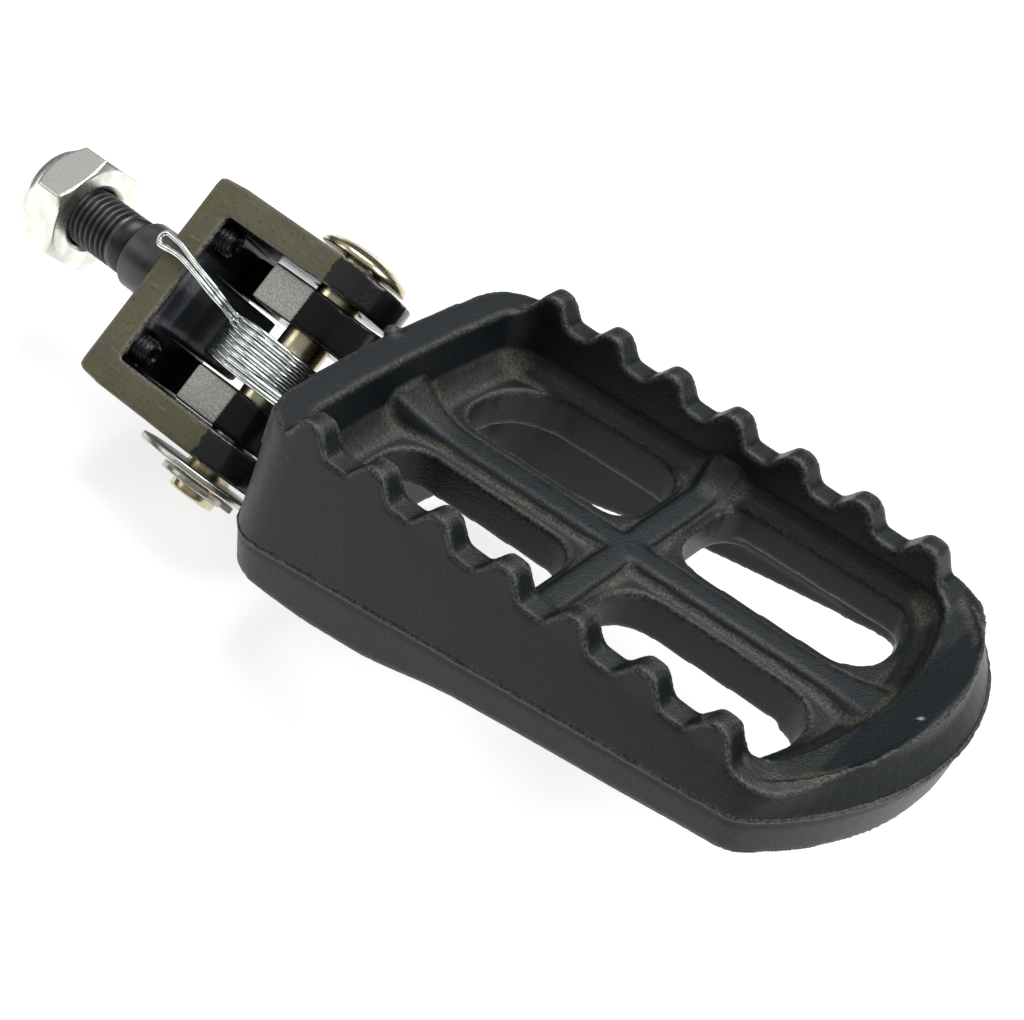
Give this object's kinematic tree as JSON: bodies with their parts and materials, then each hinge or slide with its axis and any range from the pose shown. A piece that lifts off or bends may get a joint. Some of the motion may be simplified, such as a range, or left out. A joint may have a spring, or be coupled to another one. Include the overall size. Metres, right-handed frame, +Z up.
{
  "type": "motorcycle foot peg",
  "caption": "Folding rider's foot peg: a toothed open tray hinged on a clevis with a return spring, carried by a threaded mounting stud and lock nut.",
  "frame": {"origin": "centre of the stud's free end face", "axes": "+X along the stud to the peg's tip, +Z up (the side with the teeth), Y across the tray; the clevis and its hinge pin are rolled 45 degrees about X"},
  "size_m": [0.1784, 0.0636, 0.0456],
  "materials": {
    "peg_black_coat": "fine-textured black coat, worn grey along the edges",
    "clevis_black": "glossy black with a ground olive-grey top face",
    "stud_black_oxide": "black oxide, satin",
    "nut_zinc": "bright zinc, slightly yellow",
    "nylon_insert": "natural nylon",
    "pin_zinc": "bright zinc",
    "washer_zinc": "bright zinc",
    "clip_zinc": "bright zinc",
    "spring_zinc": "zinc-plated spring wire",
    "screw_black": "black oxide"
  },
  "bodies": {
    "mount": {"clevis": "clevis_black", "mounting_stud": "stud_black_oxide", "lock_nut": "nut_zinc", "nut_insert": "nylon_insert", "pivot_pin": "pin_zinc", "washer": "washer_zinc", "e_clip": "clip_zinc", "torsion_spring": "spring_zinc", "stop_screw_near": "screw_black", "stop_screw_far": "screw_black"},
    "peg": {"peg_body": "peg_black_coat"}
  },
  "joints": [
    {"name": "peg_fold", "type": "hinge", "parent": "mount", "child": "peg", "pos_m": [0.0575, -0.00115, -0.00116], "axis": [0, -0.7071, -0.7071], "range_deg": [0, 90], "stiffness_Nm_per_rad": 0.25, "springref_deg": -68.75, "deforming": ["torsion_spring"]}
  ]
}
